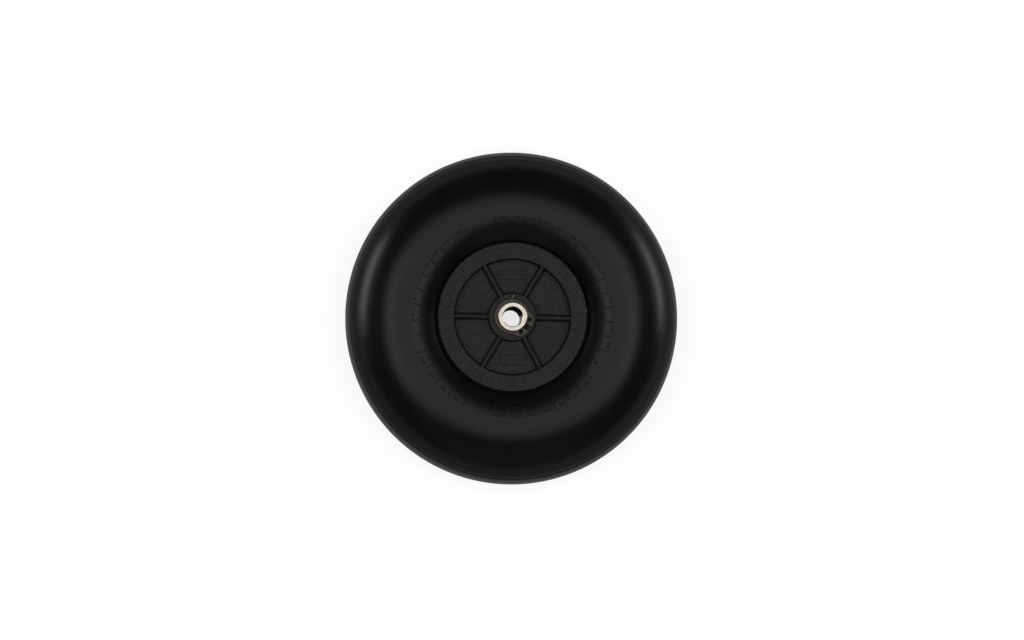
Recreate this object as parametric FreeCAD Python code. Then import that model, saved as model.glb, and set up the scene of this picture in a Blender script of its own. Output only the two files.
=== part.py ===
import FreeCAD, Part
import math
import os

# Wheel of a large model aircraft: a hollow rubber balloon tyre on a moulded two-part hub, which
# turns on two ball bearings round a metal bush. The bush slides on the aircraft's axle.
#
# Millimetres. The axle lies along Z, +Z leaves the front face and the origin is the wheel's centre.
# Every piece is made on the front side, and the rear one is its mirror image.

# Tyre, as its size marking gives it: outer diameter, width and rim
tyre_diameter = 140.0
tyre_width = 47.0
rim_diameter = 65.0
tyre_wall = 4.0
widest_share = 1 / 3  # of the way from the rim out to the tread: where the tyre is widest
lip_inset = 5.3  # of the tyre's wall beside the flange, from its widest point, along the axle
lip_thickness = 1.2  # where the tyre's lip covers the rim's shoulder
bead_width = 5.0  # the tyre's foot, along the axle
bead_foot = 3.25  # the foot's thickness, out from its bed
groove_count = 4  # round the tread
groove_pitch = 7.2
groove_width = 0.8
groove_depth = 0.6

# Hub
rim_lip = 5.0  # how far the rim stands out beyond the bed that the tyre sits on
flange_thickness = 4.0
flange_rise = 1.3  # of the flange's flat face above the tyre's wall beside it
flange_foot_inset = 1.3  # of the flange's wall from the rim's edge, where it stands on the shoulder
flange_draft = 0.6
flange_round = 0.3
flange_face_width = 6.4  # from the flange's edge to the recess
recess_depth = 4.3
recess_draft = 0.5
web_thickness = 3.0
drum_wall = 3.0
foot_round = 0.4  # where walls and ribs run into the recess floor
boss_face_radius = 9.55
boss_draft = 0.45
boss_wall = 2.5  # round the bearing

# Ribs across the recess
rib_count = 6
rib_turn = -1.3  # degrees, of the first rib from +X
rib_foot_width = 2.5  # above the round at its foot
rib_top_width = 1.7
rib_crown = 0.5  # height of its rounded top
rib_drop = 0.9  # its top lies this far below the boss and flange faces

# Screws that join the hub's halves, from the rear
screw_circle_radius = 18.0
screw_diameter = 3.0
screw_length = 20.0
screw_head_diameter = 5.5
screw_head_height = 1.8
screw_sink = 2.4  # of the head's seat below the recess floor
screw_slot_width = 0.8
screw_slot_length = 3.2
screw_slot_depth = 1.0
pillar_wall = 2.2

# Bush and its retaining rings
axle_diameter = 8.0
bush_diameter = 12.0
bush_stand_out = 3.8  # beyond the boss face
bush_end_round = 0.45  # of the outer edges
bush_chamfer = 0.25  # of the bore's edges
clip_thickness = 1.0
clip_play = 0.05  # on each side of the ring, in its groove
clip_groove_depth = 0.25
clip_lift = 0.15  # of the ring above the boss face
clip_width = 1.45  # of the ring's band, halfway round
clip_offset = 0.35  # the band is wider opposite its lugs, and narrower beside them, by this
clip_hole_circle_radius = 7.1
clip_hole_diameter = 1.7
clip_lug_radius = 1.75
clip_lug_angle = 26.5  # degrees from the middle of the gap to each hole
clip_gap = 2.1
clip_direction = -35.7  # degrees, of the gap's middle from +X

# Ball bearings
bearing_diameter = 21.0
bearing_width = 5.0
ring_wall_share = 0.244  # of the bearing's section: how thick each ring is beside its track
ball_diameter = 2.381
ball_count = 12
race_clearance = 0.15
cage_thickness = 0.8
cage_rim = 0.4
pocket_clearance = 0.1
seal_thickness = 0.3
seal_inset = 0.1
seal_clearance = 0.25

# Spacers between the bearings and the retaining rings
spacer_wall = 0.8
spacer_clearance = 0.3
shoulder_width = 1.3  # of the seat that holds each bearing's outer ring
shoulder_relief = 0.5

run_in = 1.0  # how far joined shapes run into each other, and cuts run past a face

# Radii and heights that follow
tyre_radius = tyre_diameter / 2
tyre_half_width = tyre_width / 2
rim_radius = rim_diameter / 2
bed_radius = rim_radius - rim_lip
widest_radius = rim_radius + widest_share * (tyre_radius - rim_radius)
lip_height = tyre_half_width - lip_inset
shoulder_height = lip_height - lip_thickness
face_height = lip_height + flange_rise
flange_back = face_height - flange_thickness
floor_height = face_height - recess_depth
web_back = floor_height - web_thickness
flange_foot_radius = rim_radius - flange_foot_inset
flange_radius = flange_foot_radius - flange_draft
recess_radius = flange_radius - flange_face_width
bush_radius = bush_diameter / 2
spacer_radius = bush_radius + spacer_wall
bearing_radius = bearing_diameter / 2
bearing_middle = web_back - bearing_width / 2
ball_circle_radius = (bush_radius + bearing_radius) / 2
ring_wall = ring_wall_share * (bearing_radius - bush_radius)
clip_back = face_height + clip_lift
clip_groove_radius = bush_radius - clip_groove_depth
screw_seat = floor_height - screw_sink
screw_turn = rib_turn + 180 / rib_count
axle_line = FreeCAD.Vector(0, 0, 1)
centre = FreeCAD.Vector(0, 0, 0)


def spot(radius, height):
    return FreeCAD.Vector(radius, 0, height)


def outline(*steps):
    """Face of a closed outline in the X, Z plane.

    A step is a corner, an arc's middle and end, or a Bezier curve's two handles and end.
    """
    first = here = spot(*steps[0])
    edges = []
    for step in steps[1:]:
        points = [spot(*point) for point in step] if isinstance(step[0], tuple) else [spot(*step)]
        if len(points) == 1:
            edges.append(Part.LineSegment(here, points[0]).toShape())
        elif len(points) == 2:
            edges.append(Part.Arc(here, *points).toShape())
        else:
            curve = Part.BezierCurve()
            curve.setPoles([here, *points])
            edges.append(curve.toShape())
        here = points[-1]
    edges.append(Part.LineSegment(here, first).toShape())
    return Part.Face(Part.Wire(edges))


def turned(*steps):
    """Solid turned round the axle from a closed outline of (radius, height) steps."""
    return outline(*steps).revolve(centre, axle_line, 360)


def ring(inner, outer, low, high):
    return turned((inner, low), (outer, low), (outer, high), (inner, high))


def around(shape, count, start=0.0):
    """Copies of a shape, evenly spaced round the axle."""
    copies = []
    for i in range(count):
        copy = shape.copy()
        copy.rotate(centre, axle_line, start + i * 360 / count)
        copies.append(copy)
    return copies


def rear(shape):
    return shape.mirror(centre, axle_line)


def arc(centre_radius, centre_height, radius, start, end):
    """Middle and end of an arc in an outline. Its angles are in degrees from the outward direction."""
    points = []
    for angle in ((start + end) / 2, end):
        turn = math.radians(angle)
        points.append((centre_radius + radius * math.cos(turn), centre_height + radius * math.sin(turn)))
    return tuple(points)


def falling_arc(top, foot):
    """Centre height, radius and end angle of an arc that is level at its top and ends at its foot."""
    span, drop = top[0] - foot[0], top[1] - foot[1]
    radius = (span**2 + drop**2) / (2 * drop)
    centre_height = top[1] - radius
    end_angle = math.degrees(math.atan2(foot[1] - centre_height, -span)) % 360
    return centre_height, radius, end_angle


def crown(reach, height, climbs=True):
    """Quarter of an ellipse between the tread and the tyre's widest point, as a step of an outline."""
    fullness = 4 / 3 * (math.sqrt(2) - 1)
    tread = (widest_radius + reach, 0)
    tread_handle = (widest_radius + reach, fullness * height)
    side_handle = (widest_radius + fullness * reach, height)
    side = (widest_radius, height)
    return (tread_handle, side_handle, side) if climbs else (side_handle, tread_handle, tread)


def tyre():
    """Casing with an oval crown, and a side arc from its widest point to the lip beside the flange."""
    reach = tyre_radius - widest_radius
    inner_half_width = tyre_half_width - tyre_wall
    lip = (flange_foot_radius, lip_height)
    bead = (bed_radius + bead_foot, flange_back - bead_width)
    height, radius, lip_angle = falling_arc((widest_radius, tyre_half_width), lip)
    inner_height, inner_radius, bead_angle = falling_arc((widest_radius, inner_half_width), bead)
    front = turned(
        (tyre_radius, 0),
        crown(reach, tyre_half_width),
        arc(widest_radius, height, radius, 90, lip_angle),
        (flange_foot_radius, shoulder_height),
        (rim_radius, shoulder_height),
        (rim_radius, flange_back),
        (bed_radius, flange_back),
        (bed_radius, bead[1]),
        bead,
        arc(widest_radius, inner_height, inner_radius, bead_angle, 90),
        crown(reach - tyre_wall, inner_half_width, climbs=False),
    )
    grooves = []
    for i in range(groove_count):
        height = (i - (groove_count - 1) / 2) * groove_pitch
        surface = widest_radius + reach * math.sqrt(1 - (height / tyre_half_width) ** 2)
        low = height - groove_width / 2
        grooves.append(ring(surface - groove_depth, tyre_diameter, low, low + groove_width))
    return front.fuse(rear(front)).removeSplitter().cut(grooves)


def hub_disc():
    """One half of the hub as it is turned: drum, flange, web, boss and bearing seat."""
    recess_foot = recess_radius - recess_draft
    boss_foot = boss_face_radius + boss_draft
    edge_height = face_height - flange_round
    edge_radius = flange_radius - flange_round
    high = floor_height + foot_round
    return turned(
        (bearing_radius, 0),
        (bearing_radius + boss_wall, 0),
        (bearing_radius + boss_wall, web_back),
        (bed_radius - drum_wall, web_back),
        (bed_radius - drum_wall, 0),
        (bed_radius, 0),
        (bed_radius, flange_back),
        (rim_radius, flange_back),
        (rim_radius, shoulder_height),
        (flange_foot_radius, shoulder_height),
        (flange_radius, edge_height),
        arc(edge_radius, edge_height, flange_round, 0, 90),
        (recess_radius, face_height),
        (recess_foot, high),
        arc(recess_foot - foot_round, high, foot_round, 0, -90),
        (boss_foot + foot_round, floor_height),
        arc(boss_foot + foot_round, high, foot_round, -90, -180),
        (boss_face_radius, face_height),
        (spacer_radius + spacer_clearance, face_height),
        (spacer_radius + spacer_clearance, web_back + shoulder_relief),
        (bearing_radius - shoulder_width, web_back + shoulder_relief),
        (bearing_radius - shoulder_width, web_back),
        (bearing_radius, web_back),
    )


def rib():
    """A straight rib from the boss to the drum, with a rounded top and rounds along its foot."""
    foot = rib_foot_width / 2
    top = rib_top_width / 2
    crest = face_height - rib_drop
    shoulder = crest - rib_crown
    high = floor_height + foot_round
    low = floor_height - foot_round
    reach = foot + foot_round
    left = arc(-reach, high, foot_round, -90, 0)
    right = arc(reach, high, foot_round, 180, 270)
    section = outline(
        (reach, low),
        (-reach, low),
        (-reach, floor_height),
        left,
        (-top, shoulder),
        ((0, crest), (top, shoulder)),
        (foot, high),
        right,
    )
    section.rotate(centre, axle_line, 90)
    section.translate(FreeCAD.Vector(boss_face_radius - run_in, 0, 0))
    length = recess_radius - boss_face_radius + 2 * run_in
    return section.extrude(FreeCAD.Vector(length, 0, 0))


def pillar():
    """Screw pillar from the web to the joint between the halves."""
    foot = FreeCAD.Vector(screw_circle_radius, 0, 0)
    return Part.makeCylinder(screw_diameter / 2 + pillar_wall, web_back, foot)


def hub_half():
    return hub_disc().fuse(around(rib(), rib_count, rib_turn) + around(pillar(), rib_count, screw_turn))


def hub_front_half():
    grip = screw_length - screw_seat
    hole = Part.makeCylinder(screw_diameter / 2, grip, FreeCAD.Vector(screw_circle_radius, 0, 0))
    return hub_half().cut(around(hole, rib_count, screw_turn)).removeSplitter()


def hub_rear_half():
    place = FreeCAD.Vector(screw_circle_radius, 0, 0)
    seat = FreeCAD.Vector(screw_circle_radius, 0, screw_seat)
    hole = Part.makeCylinder(screw_diameter / 2, screw_seat, place)
    sink = Part.makeCylinder(screw_head_diameter / 2, recess_depth + screw_sink, seat)
    half = hub_half().cut(around(hole, rib_count, screw_turn) + around(sink, rib_count, screw_turn))
    return rear(half.removeSplitter())


def hub_screw():
    """Pan-head screw with a cross slot, its head to the rear."""
    radius = screw_diameter / 2
    head = screw_head_diameter / 2
    shank = turned(
        (0, screw_seat - screw_length),
        (radius / 2, screw_seat - screw_length),
        (radius, screw_seat - screw_length + radius),
        (radius, screw_seat),
        (head, screw_seat),
        (head, screw_seat + screw_head_height / 2),
        (head - screw_head_height / 2, screw_seat + screw_head_height),
        (0, screw_seat + screw_head_height),
    )
    slot_floor = screw_seat + screw_head_height - screw_slot_depth
    corner = FreeCAD.Vector(0, -screw_slot_width / 2, slot_floor)
    slot_arm = Part.makeBox(screw_slot_length / 2, screw_slot_width, screw_slot_depth, corner)
    screw = shank.cut(around(slot_arm, 4))
    screw.translate(FreeCAD.Vector(screw_circle_radius, 0, 0))
    return rear(screw)


def axle_bush():
    end = face_height + bush_stand_out
    inner = axle_diameter / 2
    groove_low = clip_back - clip_play
    groove_high = clip_back + clip_thickness + clip_play
    edge = bush_radius - bush_end_round
    front = turned(
        (inner, 0),
        (bush_radius, 0),
        (bush_radius, groove_low),
        (clip_groove_radius, groove_low),
        (clip_groove_radius, groove_high),
        (bush_radius, groove_high),
        (bush_radius, end - bush_end_round),
        arc(edge, end - bush_end_round, bush_end_round, 0, 90),
        (inner + bush_chamfer, end),
        (inner, end - bush_chamfer),
    )
    return front.fuse(rear(front)).removeSplitter()


def circlip():
    """Retaining ring for a shaft: a band that narrows towards two lugs with holes."""
    up = FreeCAD.Vector(0, 0, clip_back)
    band_radius = clip_groove_radius + clip_width
    band = Part.makeCylinder(band_radius, clip_thickness, up - FreeCAD.Vector(clip_offset, 0, 0))
    gap = Part.makeBox(bearing_radius, clip_gap, clip_thickness, up - FreeCAD.Vector(0, clip_gap / 2, 0))
    holes = []
    for side in (-1, 1):
        turn = math.radians(side * clip_lug_angle)
        place = up + FreeCAD.Vector(math.cos(turn), math.sin(turn), 0) * clip_hole_circle_radius
        holes.append(Part.makeCylinder(clip_hole_diameter / 2, clip_thickness, place))
        band = band.fuse(Part.makeCylinder(clip_lug_radius, clip_thickness, place))
    lug_reach = clip_hole_circle_radius + clip_lug_radius
    lugs = Part.makeCylinder(lug_reach, clip_thickness, up, axle_line, 2 * clip_lug_angle)
    lugs.rotate(centre, axle_line, -clip_lug_angle)
    middle = Part.makeCylinder(clip_groove_radius, clip_thickness, up)
    clip = band.fuse(lugs).cut([middle, gap] + holes).removeSplitter()
    clip.rotate(centre, axle_line, clip_direction)
    return clip


def race():
    """The balls' track, to be cut from both bearing rings."""
    return Part.makeTorus(ball_circle_radius, ball_diameter / 2 + race_clearance, centre, axle_line)


def seated(shape):
    """Moves a bearing piece from the wheel's middle to its seat in the front half."""
    shape.translate(FreeCAD.Vector(0, 0, bearing_middle))
    return shape


def bearing_outer_ring():
    half = bearing_width / 2
    return seated(ring(bearing_radius - ring_wall, bearing_radius, -half, half).cut(race()))


def bearing_inner_ring():
    half = bearing_width / 2
    return seated(ring(bush_radius, bush_radius + ring_wall, -half, half).cut(race()))


def bearing_balls():
    ball = Part.makeSphere(ball_diameter / 2, spot(ball_circle_radius, 0))
    return seated(Part.makeCompound(around(ball, ball_count)))


def bearing_cage():
    pocket_radius = ball_diameter / 2 + pocket_clearance
    half = pocket_radius + cage_rim
    inner = ball_circle_radius - cage_thickness / 2
    outer = ball_circle_radius + cage_thickness / 2
    pocket = Part.makeCylinder(pocket_radius, outer + run_in, centre, FreeCAD.Vector(1, 0, 0))
    return seated(ring(inner, outer, -half, half).cut(around(pocket, ball_count)))


def bearing_seal(side):
    """Seal carried by the outer ring, on the bearing's outer (1) or inner (-1) side."""
    far = bearing_width / 2 - seal_inset
    near = far - seal_thickness
    low, high = sorted((side * near, side * far))
    inner = bush_radius + ring_wall + seal_clearance
    return seated(ring(inner, bearing_radius - ring_wall, low, high))


def distance_tube():
    half = web_back - bearing_width
    return ring(bush_radius, spacer_radius, -half, half)


def spacer_bush():
    return ring(bush_radius, spacer_radius, web_back, clip_back)


one_off = {
    "tyre": tyre(),
    "hub_front_half": hub_front_half(),
    "hub_rear_half": hub_rear_half(),
    "hub_screws": Part.makeCompound(around(hub_screw(), rib_count, screw_turn)),
    "axle_bush": axle_bush(),
    "distance_tube": distance_tube(),
}
on_both_sides = {
    "circlip": circlip(),
    "spacer_bush": spacer_bush(),
    "bearing_outer_ring": bearing_outer_ring(),
    "bearing_inner_ring": bearing_inner_ring(),
    "bearing_balls": bearing_balls(),
    "bearing_cage": bearing_cage(),
    "bearing_outer_seal": bearing_seal(1),
    "bearing_inner_seal": bearing_seal(-1),
}

os.makedirs("parts", exist_ok=True)
for name, shape in one_off.items():
    shape.exportStep(f"parts/{name}.step")
for name, shape in on_both_sides.items():
    shape.exportStep(f"parts/front_{name}.step")
    rear(shape).exportStep(f"parts/rear_{name}.step")
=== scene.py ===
import math

import bmesh
import bpy
from mathutils import Matrix, Vector


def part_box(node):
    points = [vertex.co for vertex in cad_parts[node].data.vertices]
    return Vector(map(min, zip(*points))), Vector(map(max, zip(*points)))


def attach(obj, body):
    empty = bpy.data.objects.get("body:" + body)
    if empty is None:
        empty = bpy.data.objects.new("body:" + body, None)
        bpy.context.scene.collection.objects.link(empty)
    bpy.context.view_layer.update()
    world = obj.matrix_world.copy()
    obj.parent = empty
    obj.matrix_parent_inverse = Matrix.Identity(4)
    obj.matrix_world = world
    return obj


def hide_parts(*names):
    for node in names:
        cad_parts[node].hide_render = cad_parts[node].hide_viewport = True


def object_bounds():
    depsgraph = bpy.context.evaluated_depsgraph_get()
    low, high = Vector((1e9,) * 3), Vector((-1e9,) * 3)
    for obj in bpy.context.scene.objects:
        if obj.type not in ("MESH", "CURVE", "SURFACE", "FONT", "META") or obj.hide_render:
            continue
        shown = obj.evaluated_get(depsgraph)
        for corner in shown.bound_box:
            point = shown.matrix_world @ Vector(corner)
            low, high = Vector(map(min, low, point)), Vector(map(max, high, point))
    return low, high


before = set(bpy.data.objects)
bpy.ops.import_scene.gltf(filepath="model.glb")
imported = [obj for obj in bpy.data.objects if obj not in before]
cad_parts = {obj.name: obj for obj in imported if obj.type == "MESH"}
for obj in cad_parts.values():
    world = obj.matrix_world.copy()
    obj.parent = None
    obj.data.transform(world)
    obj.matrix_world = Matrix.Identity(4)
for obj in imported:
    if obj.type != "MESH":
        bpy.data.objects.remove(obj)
cad_low, cad_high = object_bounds()

# Metres, in the frame of the solids: the axle is Z, and +Z leaves the front face.
MM = 0.001

# Sizes that the solids give
TYRE_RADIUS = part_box("tyre")[1].x
TYRE_HALF_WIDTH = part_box("tyre")[1].z
RIM_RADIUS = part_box("hub_front_half")[1].x
FACE_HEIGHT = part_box("hub_front_half")[1].z
BUSH_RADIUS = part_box("axle_bush")[1].x
BUSH_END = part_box("axle_bush")[1].z
CLIP_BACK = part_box("front_circlip")[0].z
CLIP_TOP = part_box("front_circlip")[1].z

# Tyre: the solid's outline, with finer grooves
WIDEST_RADIUS = RIM_RADIUS + (TYRE_RADIUS - RIM_RADIUS) / 3
LIP_RADIUS = RIM_RADIUS - 1.3 * MM
LIP_HEIGHT = FACE_HEIGHT - 1.3 * MM
LIP_ROUND = 0.35 * MM
LIP_OVERHANG = 0.6  # of its rounding, where the wall runs into it
SHOULDER_HEIGHT = LIP_HEIGHT - 1.2 * MM
GROOVE_COUNT = 4
GROOVE_PITCH = 7.2 * MM
GROOVE_WIDTH = 0.3 * MM
GROOVE_DEPTH = 0.35 * MM
GROOVE_EDGE_ROUND = 0.3 * MM

# Hub
FLOOR_HEIGHT = FACE_HEIGHT - 4.3 * MM
FLANGE_RADIUS = LIP_RADIUS - 0.6 * MM

# Bush
AXLE_RADIUS = 4.0 * MM
BORE_CHAMFER = 0.25 * MM
BUSH_END_ROUND = 0.45 * MM

# How finely curves are divided
TYRE_SECTORS = 480
BUSH_SECTORS = 192
CROWN_STEPS = 64
WALL_STEPS = 44
LIP_STEPS = 4
GROOVE_STEPS = 8
BUSH_ROUND_STEPS = 8
BUSH_FACE_STEPS = 6
CORNER_STEPS = 6
SHARP_EDGE = math.radians(40)


# ---------------------------------------------------------------- node helpers

def new_material(name):
    mat = bpy.data.materials.new(name)
    mat.use_nodes = True
    return mat, mat.node_tree, mat.node_tree.nodes["Principled BSDF"]


def object_coords(tree):
    return tree.nodes.new("ShaderNodeTexCoord").outputs["Object"]


def noise(tree, coords, scale, detail, roughness=0.5):
    """Noise with about as many cells to the metre as the scale says."""
    node = tree.nodes.new("ShaderNodeTexNoise")
    node.inputs["Scale"].default_value = scale
    node.inputs["Detail"].default_value = detail
    node.inputs["Roughness"].default_value = roughness
    tree.links.new(coords, node.inputs["Vector"])
    return node.outputs["Fac"]


def spread(tree, value, low, high, from_low=0.3, from_high=0.7):
    """A value's usual span, mapped to another one."""
    node = tree.nodes.new("ShaderNodeMapRange")
    node.inputs["From Min"].default_value = from_low
    node.inputs["From Max"].default_value = from_high
    node.inputs["To Min"].default_value = low
    node.inputs["To Max"].default_value = high
    tree.links.new(value, node.inputs["Value"])
    return node.outputs["Result"]


def colour_between(tree, value, tones, low=0.3, high=0.7):
    """The first tone where the value is low, the second where it is high."""
    ramp = tree.nodes.new("ShaderNodeValToRGB")
    for element, position, tone in zip(ramp.color_ramp.elements, (low, high), tones):
        element.position = position
        element.color = (*tone, 1)
    tree.links.new(value, ramp.inputs["Fac"])
    return ramp.outputs["Color"]


def mixed_colour(tree, share, first, second):
    node = tree.nodes.new("ShaderNodeMix")
    node.data_type = "RGBA"
    ends = {socket.identifier: socket for socket in node.inputs}
    tree.links.new(share, ends["Factor_Float"])
    tree.links.new(first, ends["A_Color"])
    tree.links.new(second, ends["B_Color"])
    return {socket.identifier: socket for socket in node.outputs}["Result_Color"]


def calculated(tree, operation, value, other=None):
    """A Math node's result. The other input is a socket or a number."""
    node = tree.nodes.new("ShaderNodeMath")
    node.operation = operation
    tree.links.new(value, node.inputs[0])
    if isinstance(other, bpy.types.NodeSocket):
        tree.links.new(other, node.inputs[1])
    elif other is not None:
        node.inputs[1].default_value = other
    return node.outputs[0]


def vector_math(tree, operation, vector, other=None):
    """The outputs of a Vector Math node."""
    node = tree.nodes.new("ShaderNodeVectorMath")
    node.operation = operation
    tree.links.new(vector, node.inputs[0])
    if other is not None:
        node.inputs[1].default_value = other
    return node.outputs


def axle_distance(tree, coords):
    """How far a point lies from the axle."""
    flat = vector_math(tree, "MULTIPLY", coords, (1, 1, 0))["Vector"]
    return vector_math(tree, "LENGTH", flat)["Value"]


def bump(tree, shader, height, strength, distance):
    node = tree.nodes.new("ShaderNodeBump")
    node.inputs["Strength"].default_value = strength
    node.inputs["Distance"].default_value = distance
    tree.links.new(height, node.inputs["Height"])
    tree.links.new(node.outputs["Normal"], shader.inputs["Normal"])


def link_finish(tree, shader, colour, roughness):
    tree.links.new(colour, shader.inputs["Base Color"])
    tree.links.new(roughness, shader.inputs["Roughness"])


# ---------------------------------------------------------------- materials

# Darkest and palest tone of each
RUBBER_TONES = ((0.0025, 0.0024, 0.0022), (0.0034, 0.0032, 0.0029))
PLASTIC_TONES = ((0.0075, 0.0074, 0.0068), (0.0250, 0.0246, 0.0230))
BUSH_TONES = ((0.245, 0.231, 0.208), (0.33, 0.313, 0.284))
# The bore's painted shade (dark tones) and painted glint (pale tones on one side)
BORE_SHADE_TONES = ((0.010, 0.0095, 0.0085), (0.028, 0.026, 0.022))
BORE_GLINT_TONES = ((0.30, 0.285, 0.26), (0.46, 0.44, 0.41))

RUBBER_SKIN_SPREAD = 0.02  # of its roughness, either way
PLASTIC_SHINE = 0.08
METAL_SHADE = 0.88  # a metal's darkest tone, as a share of its colour
METAL_POLISH_SPREAD = 0.05  # of its roughness, either way
TOOL_RING_PITCH = 0.12 * MM
# Low specular level that goes with the bore's painted shade
BORE_SHADE_SHINE = 0.02

# The bore's side with the painted glint: its direction from the axle, and where the glint begins and is
# full, in axle radii
BORE_GLINT_SIDE = (0.96, -0.28, 0)
BORE_GLINT_START = 0.72
BORE_GLINT_FULL = 0.98


def rubber(name, shine, roughness):
    """Smooth black rubber with a fine skin and faint cloudy patches."""
    mat, tree, shader = new_material(name)
    coords = object_coords(tree)
    skin = noise(tree, coords, scale=1700.0, detail=4.0, roughness=0.6)
    clouds = noise(tree, coords, scale=45.0, detail=3.0)
    shader.inputs["Specular IOR Level"].default_value = shine
    polish = spread(tree, clouds, roughness - RUBBER_SKIN_SPREAD, roughness + RUBBER_SKIN_SPREAD)
    link_finish(tree, shader, colour_between(tree, clouds, RUBBER_TONES), polish)
    bump(tree, shader, skin, strength=0.6, distance=0.07 * MM)
    return mat


def plastic(name, paleness=1.0):
    """Black glass-filled plastic with a fine eroded grain and pale flecks. A paleness above 1 makes it
    paler: on the flash this is painted highlight, on the dust speck the dust's own tone.
    """
    mat, tree, shader = new_material(name)
    coords = object_coords(tree)
    grain = noise(tree, coords, scale=1500.0, detail=4.0, roughness=0.6)
    flecks = noise(tree, coords, scale=1300.0, detail=3.0, roughness=0.7)
    shader.inputs["Specular IOR Level"].default_value = PLASTIC_SHINE
    tones = [tuple(paleness * c for c in tone) for tone in PLASTIC_TONES]
    colour = colour_between(tree, flecks, tones, low=0.42, high=0.75)
    link_finish(tree, shader, colour, spread(tree, grain, low=0.40, high=0.56))
    bump(tree, shader, grain, strength=0.7, distance=0.09 * MM)
    return mat


def metal(name, colour, roughness):
    """Metal with a fine grain in its tone, its polish and its relief."""
    mat, tree, shader = new_material(name)
    fine = noise(tree, object_coords(tree), scale=1800.0, detail=3.0)
    shader.inputs["Metallic"].default_value = 1.0
    tones = (tuple(METAL_SHADE * c for c in colour), colour)
    polish = spread(tree, fine, roughness - METAL_POLISH_SPREAD, roughness + METAL_POLISH_SPREAD)
    link_finish(tree, shader, colour_between(tree, fine, tones), polish)
    bump(tree, shader, fine, strength=0.2, distance=0.03 * MM)
    return mat


def turned_metal():
    """Bright turned steel with fine tool rings round the axle."""
    mat, tree, shader = new_material("bush_metal")
    coords = object_coords(tree)
    blotches = noise(tree, coords, scale=350.0, detail=3.0)
    shader.inputs["Metallic"].default_value = 1.0
    polish = spread(tree, blotches, low=0.24, high=0.34)
    link_finish(tree, shader, colour_between(tree, blotches, BUSH_TONES), polish)
    phase = calculated(tree, "MULTIPLY", axle_distance(tree, coords), 2 * math.pi / TOOL_RING_PITCH)
    bump(tree, shader, calculated(tree, "SINE", phase), strength=0.12, distance=0.01 * MM)
    return mat


def shaded_bore():
    """Steel inside the bush, painted dark as shade, with a painted glint that makes one side pale, shiny and
    metallic.
    """
    mat, tree, shader = new_material("bore_painted_shade_and_glint")
    coords = object_coords(tree)
    mottle = noise(tree, coords, scale=500.0, detail=3.0)
    shader.inputs["Specular IOR Level"].default_value = BORE_SHADE_SHINE
    side = vector_math(tree, "DOT_PRODUCT", coords, BORE_GLINT_SIDE)["Value"]
    glint_share = spread(tree, side, 0.0, 1.0, BORE_GLINT_START * AXLE_RADIUS, BORE_GLINT_FULL * AXLE_RADIUS)
    shade_colour = colour_between(tree, mottle, BORE_SHADE_TONES)
    glint_colour = colour_between(tree, mottle, BORE_GLINT_TONES)
    colour = mixed_colour(tree, glint_share, shade_colour, glint_colour)
    link_finish(tree, shader, colour, spread(tree, glint_share, low=0.9, high=0.42))
    tree.links.new(glint_share, shader.inputs["Metallic"])
    bump(tree, shader, mottle, strength=0.2, distance=0.03 * MM)
    return mat


MATERIALS = {
    "rubber": rubber("tyre_rubber", shine=0.11, roughness=0.28),
    "tread": rubber("tread_rubber", shine=0.06, roughness=0.45),
    "seal": rubber("seal_rubber", shine=0.3, roughness=0.45),
    "plastic": plastic("hub_plastic"),
    # The flash's pale tone is painted highlight, standing in for the glint along the wisp
    "flash": plastic("flash_plastic_painted_glint", paleness=7.0),
    "dust": plastic("dust", paleness=14.0),
    "bush": turned_metal(),
    # Painted shade in the bore and the ring grooves, with a painted glint on one side
    "bore": shaded_bore(),
    "clip": metal("spring_steel", (0.028, 0.0262, 0.0236), roughness=0.36),
    "screw": metal("screw_steel", (0.10, 0.10, 0.103), roughness=0.35),
    "spacer": metal("spacer_metal", (0.008, 0.0072, 0.0062), roughness=0.5),
    # Near-black steel, far darker than bare steel, for the bearing's inner ring
    "near_black": metal("near_black_steel", (0.012, 0.010, 0.008), roughness=0.5),
    "bearing": metal("bearing_steel", (0.35, 0.35, 0.35), roughness=0.2),
    "cage": metal("cage_steel", (0.28, 0.26, 0.22), roughness=0.35),
}

# The wall's shine fades out over the shoulder, between these heights, in small steps
SHOULDER_TOP = 17.3 * MM
SHOULDER_LOW = 14.0 * MM
SHOULDER_SHINES = (0.094, 0.078, 0.062, 0.046, 0.030)
SHOULDER_RUBBERS = [
    rubber(f"shoulder_rubber_{i}", shine, roughness=0.3) for i, shine in enumerate(SHOULDER_SHINES)
]


# ---------------------------------------------------------------- mesh helpers

def add_object(name, bm, body, material):
    """Puts a finished mesh in the scene, as a piece of the given body."""
    bmesh.ops.recalc_face_normals(bm, faces=bm.faces)
    mesh = bpy.data.meshes.new(name)
    bm.to_mesh(mesh)
    bm.free()
    obj = bpy.data.objects.new(name, mesh)
    bpy.context.scene.collection.objects.link(obj)
    mesh.materials.append(material)
    mesh.shade_smooth()
    mesh.set_sharp_from_angle(angle=SHARP_EDGE)
    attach(obj, body)
    return obj


def skin_loops(bm, loops, capped=False):
    """Joins a row of closed loops with faces. Its ends are capped, or else the last loop joins the first."""
    rows = [[bm.verts.new(point) for point in loop] for loop in loops]
    for row, ahead in zip(rows, rows[1:] if capped else rows[1:] + rows[:1]):
        for i in range(len(row)):
            k = (i + 1) % len(row)
            bm.faces.new((row[i], row[k], ahead[k], ahead[i]))
    if capped:
        bm.faces.new(reversed(rows[0]))
        bm.faces.new(rows[-1])


def full_turn(count, offset=0.0):
    """Evenly spaced angles once round, in radians."""
    return [2 * math.pi * (i + offset) / count for i in range(count)]


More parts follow.
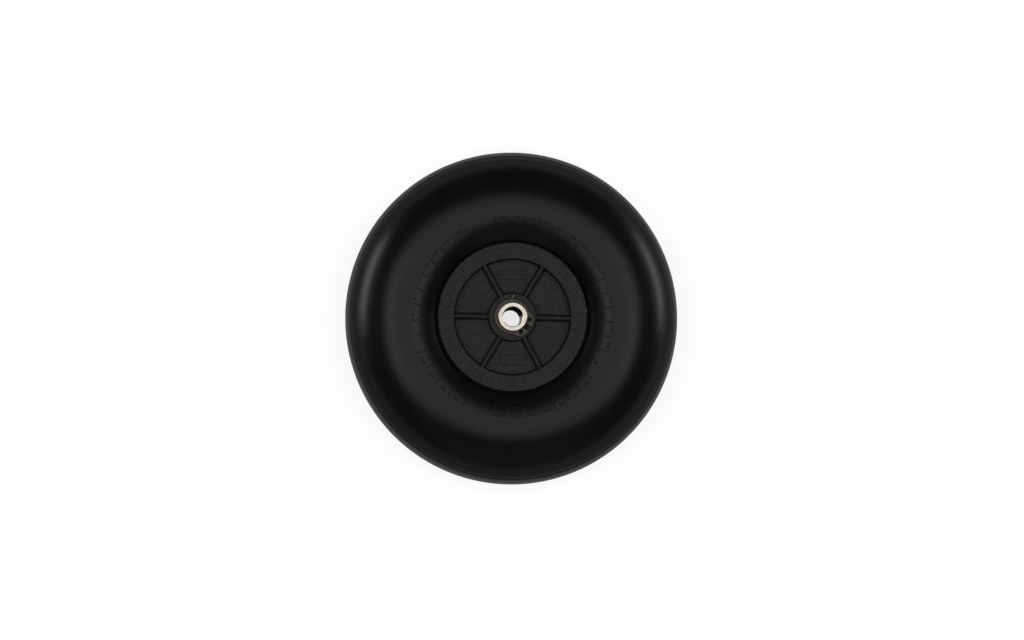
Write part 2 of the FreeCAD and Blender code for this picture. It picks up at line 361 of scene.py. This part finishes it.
def turned_mesh(profile, sectors):
    """A closed skin turned round the axle from a closed list of (radius, height)."""
    ways = [(math.cos(turn), math.sin(turn)) for turn in full_turn(sectors)]
    bm = bmesh.new()
    skin_loops(bm, [[(radius * x, radius * y, height) for x, y in ways] for radius, height in profile])
    return bm


def arc_points(centre, radius, start, end, steps):
    """Points along an arc, its angles in degrees from the outward direction."""
    points = []
    for i in range(steps + 1):
        turn = math.radians(start + (end - start) * i / steps)
        points.append((centre[0] + radius * math.cos(turn), centre[1] + radius * math.sin(turn)))
    return points


def mirrored(points):
    """The rear half of a profile, from its front half."""
    return [(radius, -height) for radius, height in reversed(points)]


def eased(share):
    """A smooth step from 0 to 1."""
    share = min(1.0, max(0.0, share))
    return share * share * (3 - 2 * share)


# ---------------------------------------------------------------- tyre

# The wall is an arc from the widest point to the lip, and the crown a half oval
WALL_SPAN = WIDEST_RADIUS - LIP_RADIUS
WALL_DROP = TYRE_HALF_WIDTH - LIP_HEIGHT
WALL_ROUND = (WALL_SPAN**2 + WALL_DROP**2) / (2 * WALL_DROP)
WALL_CENTRE = TYRE_HALF_WIDTH - WALL_ROUND
CROWN_REACH = TYRE_RADIUS - WIDEST_RADIUS
GROOVE_REACH = GROOVE_WIDTH / 2 + GROOVE_EDGE_ROUND
GROOVE_MARGIN = 0.1 * MM  # kept clear of the crown's own points
GROOVE_HEIGHTS = [(i - (GROOVE_COUNT - 1) / 2) * GROOVE_PITCH for i in range(GROOVE_COUNT)]


def wall_height(radius):
    """Height of the tyre's side wall inward of its widest point."""
    return WALL_CENTRE + math.sqrt(WALL_ROUND**2 - (WIDEST_RADIUS - radius) ** 2)


def groove_depth_at(height):
    """Depth of the tread's grooves, with rounded edges."""
    off = min(abs(height - middle) for middle in GROOVE_HEIGHTS)
    return GROOVE_DEPTH * eased((GROOVE_REACH - off) / (2 * GROOVE_EDGE_ROUND))


def crown_profile():
    """The front half of the oval crown, from the tread's middle to the widest point."""
    turns = [math.pi / 2 * i / CROWN_STEPS for i in range(CROWN_STEPS + 1)]
    heights = [TYRE_HALF_WIDTH * math.sin(turn) for turn in turns]
    for middle in GROOVE_HEIGHTS[GROOVE_COUNT // 2:]:
        heights = [h for h in heights if abs(h - middle) > GROOVE_REACH + GROOVE_MARGIN]
        heights += [middle + GROOVE_REACH * j / GROOVE_STEPS for j in range(-GROOVE_STEPS, GROOVE_STEPS + 1)]
    points = []
    for height in sorted(heights):
        radius = WIDEST_RADIUS + CROWN_REACH * math.sqrt(max(0.0, 1 - (height / TYRE_HALF_WIDTH) ** 2))
        points.append((radius - groove_depth_at(height), height))
    return points


def lip_profile():
    """From the widest point inward over the side wall, round the lip and down to the rim's shoulder."""
    points = []
    for i in range(1, WALL_STEPS + 1):
        radius = WIDEST_RADIUS - (WALL_SPAN - LIP_OVERHANG * LIP_ROUND) * i / WALL_STEPS
        points.append((radius, wall_height(radius)))
    corner = (LIP_RADIUS + LIP_ROUND, LIP_HEIGHT - LIP_OVERHANG * LIP_ROUND)
    points += arc_points(corner, LIP_ROUND, 140, 180, LIP_STEPS)
    points += [(LIP_RADIUS, SHOULDER_HEIGHT), (RIM_RADIUS, SHOULDER_HEIGHT)]
    return points


def make_tyre():
    """The tyre's skin: shiny walls, shoulders that turn dull step by step, and a dull tread."""
    front = crown_profile() + lip_profile()
    skin_mesh = turned_mesh(front + mirrored(front)[:-1], TYRE_SECTORS)
    skin = add_object("tyre_skin", skin_mesh, "wheel", MATERIALS["rubber"])
    for material in SHOULDER_RUBBERS + [MATERIALS["tread"]]:
        skin.data.materials.append(material)
    bands = len(SHOULDER_RUBBERS)
    for face in skin.data.polygons:
        height = abs(face.center.z)
        if face.center.xy.length < WIDEST_RADIUS or height > SHOULDER_TOP:
            continue
        step = int(bands * (SHOULDER_TOP - height) / (SHOULDER_TOP - SHOULDER_LOW)) + 1
        face.material_index = min(step, bands) if height > GROOVE_HEIGHTS[-1] else bands + 1
    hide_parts("tyre")


# ---------------------------------------------------------------- raised marks on the front wall

EDGE_SINK = 0.02 * MM  # of a mark's edge, below the surface that it stands on
MARK_HEIGHT = 0.3 * MM
MARK_SINK = 0.3 * MM
MARK_STROKE = 0.9 * MM
MARK_ROWS = (37.0 * MM, 40.8 * MM)
MARK_MIDDLE = sum(MARK_ROWS) / 2
MARK_LENGTH = 3.2 * MM
MARK_DOT = 1.3 * MM
MARK_DOT_ANGLES = (191.0, 109.0, -29.0, 250.0)
MARK_PITCH = 8.6  # degrees
MARK_STEEPNESS = 1.8
MARK_LOOPS = 7
MARK_SIDES = 28


def wall_lift(radius, angle, lift):
    """A point above the tyre's side wall, inward of its widest point."""
    height = wall_height(radius)
    tilt = ((radius - WIDEST_RADIUS) / WALL_ROUND, (height - WALL_CENTRE) / WALL_ROUND)
    radius, height = radius + tilt[0] * lift, height + tilt[1] * lift
    return Vector((radius * math.cos(angle), radius * math.sin(angle), height))


def raised_mark(bm, radius, angle, length, width, place):
    """A soft-edged pad with round ends, closed below. place(radius, angle, lift) gives its points."""
    half = width / 2
    straight = length / 2 - half

    def mark_loop(share, lift):
        points = []
        for turn in full_turn(MARK_SIDES, 0.5):
            along = math.copysign(straight, math.cos(turn)) + half * share * math.cos(turn)
            points.append(place(radius + half * share * math.sin(turn), angle + along / radius, lift))
        return points

    loops = [mark_loop(1, -MARK_SINK)]
    for i in range(MARK_LOOPS):
        inward = i / MARK_LOOPS
        loops.append(mark_loop(1 - inward, MARK_HEIGHT * eased(MARK_STEEPNESS * inward) - EDGE_SINK))
    skin_loops(bm, loops, capped=True)


def raised_bar(bm, angle):
    """A raised mark that lies along the radius, as long as the rows are apart."""
    length = MARK_ROWS[1] - MARK_ROWS[0] + MARK_STROKE

    def crosswise(radius, along, lift):
        turn = angle + (radius - MARK_MIDDLE) / MARK_MIDDLE
        return wall_lift(MARK_MIDDLE + (along - angle) * MARK_MIDDLE, turn, lift)

    raised_mark(bm, MARK_MIDDLE, angle, length, MARK_STROKE, crosswise)


def make_marks():
    """A raised ladder of bars and dashes round the front wall, in groups with a dot between them."""
    bm = bmesh.new()
    dots = sorted(angle % 360 for angle in MARK_DOT_ANGLES)
    for here, there in zip(dots, dots[1:] + [dots[0] + 360]):
        raised_mark(bm, MARK_MIDDLE, math.radians(here), MARK_DOT, MARK_DOT, wall_lift)
        bars = int((there - here) / MARK_PITCH) - 1
        step = (there - here) / (bars + 1)
        for i in range(1, bars):
            for row in MARK_ROWS:
                turn = math.radians(here + (i + 0.5) * step)
                raised_mark(bm, row, turn, MARK_LENGTH, MARK_STROKE, wall_lift)
        for i in range(1, bars + 1):
            raised_bar(bm, math.radians(here + i * step))
    add_object("tyre_marks", bm, "wheel", MATERIALS["rubber"])


# ---------------------------------------------------------------- bush

CLIP_PLAY = 0.05 * MM
CLIP_GROOVE_DEPTH = 0.25 * MM
CLIP_GROOVE_REACH = 0.6  # of its width, from its middle, to take in its walls
BORE_MARGIN = 0.02 * MM


def make_bush():
    """The bush's bright skin. Its bore and the grooves for the retaining rings are painted dark as shade,
    with a painted glint on one side.
    """
    edge = BUSH_RADIUS - BUSH_END_ROUND
    rim = AXLE_RADIUS + BORE_CHAMFER
    groove = BUSH_RADIUS - CLIP_GROOVE_DEPTH
    low, high = CLIP_BACK - CLIP_PLAY, CLIP_TOP + CLIP_PLAY
    front = [(BUSH_RADIUS, 0), (BUSH_RADIUS, low), (groove, low), (groove, high), (BUSH_RADIUS, high)]
    front += arc_points((edge, BUSH_END - BUSH_END_ROUND), BUSH_END_ROUND, 0, 90, BUSH_ROUND_STEPS)
    for i in range(1, BUSH_FACE_STEPS + 1):
        front.append((edge + (rim - edge) * i / BUSH_FACE_STEPS, BUSH_END))
    front += [(AXLE_RADIUS, BUSH_END - BORE_CHAMFER), (AXLE_RADIUS, BUSH_END / 2), (AXLE_RADIUS, 0)]
    skin_mesh = turned_mesh(front + mirrored(front[1:-1]), BUSH_SECTORS)
    skin = add_object("bush_skin", skin_mesh, "bush", MATERIALS["bush"])
    skin.data.materials.append(MATERIALS["bore"])
    for face in skin.data.polygons:
        in_bore = face.center.xy.length < AXLE_RADIUS + BORE_MARGIN
        in_groove = abs(abs(face.center.z) - (low + high) / 2) < (high - low) * CLIP_GROOVE_REACH
        # Bore and groove faces take the painted shade and glint
        if in_bore or in_groove:
            face.material_index = 1
    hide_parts("axle_bush")


# ---------------------------------------------------------------- retaining rings

CLIP_BAND_WIDTH = 1.45 * MM
CLIP_OFFSET = 0.35 * MM  # of the band's outer circle, away from the gap
CLIP_LUG_REACH = 8.85 * MM
CLIP_LUG_FLOW = (28.0, 58.0)  # degrees from the gap, between which a lug flows into the band
CLIP_HOLE_CIRCLE = 7.1 * MM
CLIP_HOLE_RADIUS = 0.85 * MM
CLIP_HOLE_ANGLE = 26.5  # degrees from the gap
CLIP_GAP = 2.1 * MM
CLIP_DIRECTION = -35.7  # degrees
CLIP_EDGE = 0.16 * MM
CLIP_EDGE_STEPS = 2
CLIP_STEPS = 90
CLIP_HOLE_STEPS = 40
WELD = 0.001 * MM


def clip_outline():
    """Half of the ring's outline, from the gap to the side opposite, as outer and inner points."""
    inner_radius = BUSH_RADIUS - CLIP_GROOVE_DEPTH
    band_radius = inner_radius + CLIP_BAND_WIDTH
    outer_start = math.degrees(math.asin(CLIP_GAP / 2 / CLIP_LUG_REACH))
    inner_start = math.degrees(math.asin(CLIP_GAP / 2 / inner_radius))
    low, high = CLIP_LUG_FLOW
    outer = []
    for i in range(CLIP_STEPS + 1):
        degrees = outer_start + (180 - outer_start) * i / CLIP_STEPS
        turn = math.radians(degrees)
        off = CLIP_OFFSET * math.sin(turn)
        band = -CLIP_OFFSET * math.cos(turn) + math.sqrt(band_radius**2 - off**2)
        radius = band + (CLIP_LUG_REACH - band) * eased((high - degrees) / (high - low))
        outer.append((radius * math.cos(turn), radius * math.sin(turn)))
    return outer, arc_points((0, 0), inner_radius, inner_start, 180, CLIP_STEPS)


def extruded_clip(name):
    """The ring's mesh round the origin, its gap towards +X, made from a flat curve with soft edges."""
    curve = bpy.data.curves.new(name, "CURVE")
    curve.dimensions = "2D"
    curve.fill_mode = "BOTH"
    curve.extrude = (CLIP_TOP - CLIP_BACK) / 2 - CLIP_EDGE
    curve.bevel_depth = CLIP_EDGE
    curve.bevel_resolution = CLIP_EDGE_STEPS
    curve.offset = -CLIP_EDGE
    outer, inner = clip_outline()
    loops = [outer + [(x, -y) for x, y in outer[-2::-1]] + [(x, -y) for x, y in inner] + inner[-2::-1]]
    for angle in (-CLIP_HOLE_ANGLE, CLIP_HOLE_ANGLE):
        turn = math.radians(angle)
        middle = (CLIP_HOLE_CIRCLE * math.cos(turn), CLIP_HOLE_CIRCLE * math.sin(turn))
        loops.append(arc_points(middle, CLIP_HOLE_RADIUS, 0, -360, CLIP_HOLE_STEPS)[:-1])
    for points in loops:
        spline = curve.splines.new("POLY")
        spline.points.add(len(points) - 1)
        for point, (x, y) in zip(spline.points, points):
            point.co = (x, y, 0, 1)
        spline.use_cyclic_u = True
    carrier = bpy.data.objects.new(name, curve)
    bpy.context.scene.collection.objects.link(carrier)
    mesh = bpy.data.meshes.new_from_object(carrier.evaluated_get(bpy.context.evaluated_depsgraph_get()))
    bpy.data.objects.remove(carrier)
    return mesh


def make_circlip(side, node):
    """A retaining ring, widest opposite its gap, with a hole in each lug. The side is 1 at the front."""
    bm = bmesh.new()
    bm.from_mesh(extruded_clip(node + "_outline"))
    bmesh.ops.remove_doubles(bm, verts=bm.verts, dist=WELD)
    turned = Matrix.Rotation(math.radians(CLIP_DIRECTION), 4, "Z")
    bm.transform(Matrix.Translation((0, 0, side * (CLIP_TOP + CLIP_BACK) / 2)) @ turned)
    piece = add_object(node + "_ring", bm, "bush", MATERIALS["clip"])
    piece.modifiers.new("flat_faces", "WEIGHTED_NORMAL")
    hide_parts(node)


# ---------------------------------------------------------------- small marks on the hub

# Each blank field's distance from the axle, its direction in degrees, its length and its width
PADS = ((17.5 * MM, 90, 13.0 * MM, 4.2 * MM), (17.6 * MM, 270, 11.4 * MM, 4.8 * MM))
PAD_HEIGHT = 0.14 * MM
PAD_STROKE = 0.42 * MM
PAD_CORNER = 0.9 * MM
PAD_SINK = 0.2 * MM
PAD_STEPS = 8

GATE_RADIUS = 0.5 * MM
GATE_FLATNESS = 0.5
GATE_PLACE = (19.3 * MM, 136)

SPECK_ANGLE = 5.0
SPECK_INSET = 0.1 * MM
SPECK_LIFT = 0.02 * MM
SPECK_RADIUS = 0.22 * MM
SPECK_LUMPS = 0.25
SPECK_WAVES = Vector((5, 3, 0)) / SPECK_RADIUS

FLASH_ROOT = 9.2 * MM
FLASH_TIP = 6.9 * MM
FLASH_SIDE = 0.75 * MM
FLASH_SLANT = 0.6
FLASH_SINK = 0.1 * MM
FLASH_CLEARANCE = 0.25 * MM
FLASH_CLIMB = 2.4  # it is at its full height after 1/2.4 of its length
FLASH_LEAN_START = 0.35
FLASH_ROOT_WIDTH = 0.55 * MM
FLASH_TIP_WIDTH = 0.35 * MM
FLASH_STEPS = 12
FLASH_SIDES = 8


def on_hub_floor(radius, degrees):
    turn = math.radians(degrees)
    return Vector((radius * math.cos(turn), radius * math.sin(turn), FLOOR_HEIGHT))


def rounded_loop(length, width, inset):
    """Points round a blank field, some way inside its outline."""
    half_x, half_y = length / 2 - PAD_CORNER, width / 2 - PAD_CORNER
    points = []
    for i, (sx, sy) in enumerate(((1, 1), (-1, 1), (-1, -1), (1, -1))):
        corner = (sx * half_x, sy * half_y)
        points += arc_points(corner, PAD_CORNER - inset, 90 * i, 90 * i + 90, CORNER_STEPS)
    return points


def make_hub_marks():
    """Blank fields with a thin raised border, and the pip where the plastic entered the mould."""
    bm = bmesh.new()
    for radius, degrees, length, width in PADS:
        middle = on_hub_floor(radius, degrees)
        border = []
        for i in range(PAD_STEPS + 1):
            share = i / PAD_STEPS
            border.append((PAD_STROKE * share, PAD_HEIGHT * math.sin(math.pi * share) - EDGE_SINK))
        border += [(PAD_STROKE, -PAD_SINK), (0, -PAD_SINK)]
        loops = []
        for inset, lift in border:
            loop = rounded_loop(length, width, inset)
            loops.append([middle + Vector((x, y, lift)) for x, y in loop])
        skin_loops(bm, loops)
    pip = bmesh.ops.create_uvsphere(bm, u_segments=24, v_segments=12, radius=GATE_RADIUS)["verts"]
    bmesh.ops.scale(bm, verts=pip, vec=(1, 1, GATE_FLATNESS))
    bmesh.ops.translate(bm, verts=pip, vec=on_hub_floor(*GATE_PLACE))
    add_object("hub_marks", bm, "wheel", MATERIALS["plastic"])


def make_flash():
    """A wisp of moulding flash at the boss's top, its pale tone a painted highlight. It leans in over the
    ring, clear of the turning lugs.
    """
    foot = FACE_HEIGHT - FLASH_SINK
    top = CLIP_TOP + FLASH_CLEARANCE + FLASH_ROOT_WIDTH / 2
    loops = []
    for i in range(FLASH_STEPS + 1):
        share = i / FLASH_STEPS
        lean = (FLASH_ROOT - FLASH_TIP) * eased((share - FLASH_LEAN_START) / (1 - FLASH_LEAN_START))
        height = foot + (top - foot) * math.sin(math.pi / 2 * min(1.0, FLASH_CLIMB * share))
        middle = Vector((FLASH_SIDE - FLASH_SLANT * lean, FLASH_ROOT - lean, height))
        half = (FLASH_ROOT_WIDTH + (FLASH_TIP_WIDTH - FLASH_ROOT_WIDTH) * share) / 2
        ways = [Vector((math.cos(turn), 0, math.sin(turn))) for turn in full_turn(FLASH_SIDES)]
        loops.append([middle + half * way for way in ways])
    bm = bmesh.new()
    skin_loops(bm, loops, capped=True)
    add_object("boss_flash", bm, "wheel", MATERIALS["flash"])


def make_speck():
    """A speck of pale dust that clings to the flange's edge."""
    turn = math.radians(SPECK_ANGLE)
    place = Vector((math.cos(turn), math.sin(turn), 0)) * (FLANGE_RADIUS - SPECK_INSET)
    place.z = FACE_HEIGHT + SPECK_LIFT
    bm = bmesh.new()
    bmesh.ops.create_icosphere(bm, subdivisions=3, radius=SPECK_RADIUS)
    for vert in bm.verts:
        vert.co *= 1 + SPECK_LUMPS * math.sin(SPECK_WAVES.dot(vert.co))
    bmesh.ops.translate(bm, verts=bm.verts, vec=place)
    add_object("dust_speck", bm, "wheel", MATERIALS["dust"])


# ---------------------------------------------------------------- solids that stay

# The first of these words that a node's name holds gives its finish
NODE_FINISH = {
    "hub_screws": "screw",
    "hub": "plastic",
    "seal": "seal",
    "cage": "cage",
    "inner_ring": "near_black",
    "bearing": "bearing",
    "spacer": "spacer",
    "distance": "spacer",
}


def finish_solids():
    for node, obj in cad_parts.items():
        keys = [key for word, key in NODE_FINISH.items() if word in node]
        if keys:
            for place in obj.material_slots:
                place.material = MATERIALS[keys[0]]


# ---------------------------------------------------------------- stage

FLOOR_SIZE = 12.0
FLOOR_COLOUR = (0.255, 0.255, 0.258)
FLOOR_GLOW = 0.78
WORLD_COLOUR = (0.06, 0.06, 0.063)

WARM = (1.0, 0.995, 0.955)
COOL = (0.96, 1.0, 0.99)
NEUTRAL = (1.0, 1.0, 1.0)

# Name: place, aim, size, radiance and tint. The panels make the main softbox brighter towards its ends.
LAMPS = {
    "top_softbox": ((0, 0.03, 1.2), (0, 0.03, 0), (1.7, 1.1), 2.5, WARM),
    "left_panel": ((-0.62, 0, 1.15), (-0.62, 0, 0), (0.36, 0.7), 2.2, WARM),
    "right_panel": ((0.62, 0, 1.15), (0.62, 0, 0), (0.36, 0.7), 2.2, WARM),
    "fill_softbox": ((0, -1.3, 0.75), (0, 0, 0), (1.6, 0.9), 0.35, NEUTRAL),
}

# The low softboxes that light the tyre's two sides: name, direction in degrees, radiance
SIDE_BOXES = (("left_softbox", 164, 11.9), ("right_softbox", 16, 9.8))
SIDE_BOX_DISTANCE = 1.5
SIDE_BOX_HEIGHT = 0.16
SIDE_BOX_SIZE = (0.9, 0.3)

# Camera: almost straight over the wheel
CAMERA_PLACE = (-0.018, -0.0205, 0.721)
CAMERA_TARGET = (0.00023, -0.00074, 0.0)
CAMERA_LENS = 60.08
CAMERA_SENSOR = 36.0
CAMERA_RANGE = (0.01, 50.0)


def make_floor():
    """A white floor that glows for the camera, gloss and glass, and still takes the wheel's shadow."""
    mat, tree, shader = new_material("floor_white")
    tree.nodes.remove(shader)
    diffuse = tree.nodes.new("ShaderNodeBsdfDiffuse")
    diffuse.inputs["Color"].default_value = (*FLOOR_COLOUR, 1)
    rays = tree.nodes.new("ShaderNodeLightPath").outputs
    seen = calculated(tree, "MAXIMUM", rays["Is Camera Ray"], rays["Is Glossy Ray"])
    seen = calculated(tree, "MAXIMUM", seen, rays["Is Transmission Ray"])
    glow = tree.nodes.new("ShaderNodeEmission")
    tree.links.new(calculated(tree, "MULTIPLY", seen, FLOOR_GLOW), glow.inputs["Strength"])
    both = tree.nodes.new("ShaderNodeAddShader")
    tree.links.new(diffuse.outputs[0], both.inputs[0])
    tree.links.new(glow.outputs[0], both.inputs[1])
    tree.links.new(both.outputs[0], tree.nodes["Material Output"].inputs["Surface"])
    bpy.ops.mesh.primitive_plane_add(size=FLOOR_SIZE, location=(0, 0, cad_low.z))
    floor = bpy.context.object
    floor.name = "floor"
    floor.data.materials.append(mat)


def make_world():
    world = bpy.data.worlds.new("studio")
    bpy.context.scene.world = world
    world.use_nodes = True
    world.node_tree.nodes["Background"].inputs["Color"].default_value = (*WORLD_COLOUR, 1)


def softbox(name, place, aim, size, radiance, tint):
    """A rectangular area lamp of a given brightness that aims at a point."""
    light = bpy.data.lights.new(name, "AREA")
    light.color = tint
    light.shape = "RECTANGLE"
    light.size, light.size_y = size
    light.energy = radiance * math.pi * size[0] * size[1]
    obj = bpy.data.objects.new(name, light)
    bpy.context.scene.collection.objects.link(obj)
    obj.location = place
    obj.rotation_mode = "QUATERNION"
    obj.rotation_quaternion = (Vector(aim) - Vector(place)).to_track_quat("-Z", "Y")


def make_lights():
    for name, lamp in LAMPS.items():
        softbox(name, *lamp)
    for name, degrees, radiance in SIDE_BOXES:
        turn = math.radians(degrees)
        place = (SIDE_BOX_DISTANCE * math.cos(turn), SIDE_BOX_DISTANCE * math.sin(turn), SIDE_BOX_HEIGHT)
        softbox(name, place, (0, 0, 0), SIDE_BOX_SIZE, radiance, COOL)


def make_camera():
    data = bpy.data.cameras.new("camera")
    data.sensor_width = CAMERA_SENSOR
    data.lens = CAMERA_LENS
    data.clip_start, data.clip_end = CAMERA_RANGE
    cam = bpy.data.objects.new("camera", data)
    bpy.context.scene.collection.objects.link(cam)
    place = Vector(CAMERA_PLACE)
    ahead = (Vector(CAMERA_TARGET) - place).normalized()
    right = ahead.cross(Vector((0, 1, 0))).normalized()
    up = right.cross(ahead)
    cam.rotation_mode = "QUATERNION"
    cam.rotation_quaternion = Matrix((right, up, -ahead)).transposed().to_quaternion()
    cam.location = place
    bpy.context.scene.camera = cam


make_tyre()
make_marks()
make_bush()
make_circlip(1, "front_circlip")
make_circlip(-1, "rear_circlip")
make_hub_marks()
make_flash()
make_speck()
finish_solids()
make_floor()
make_world()
make_lights()
make_camera()

bpy.context.scene.view_settings.view_transform = "Standard"
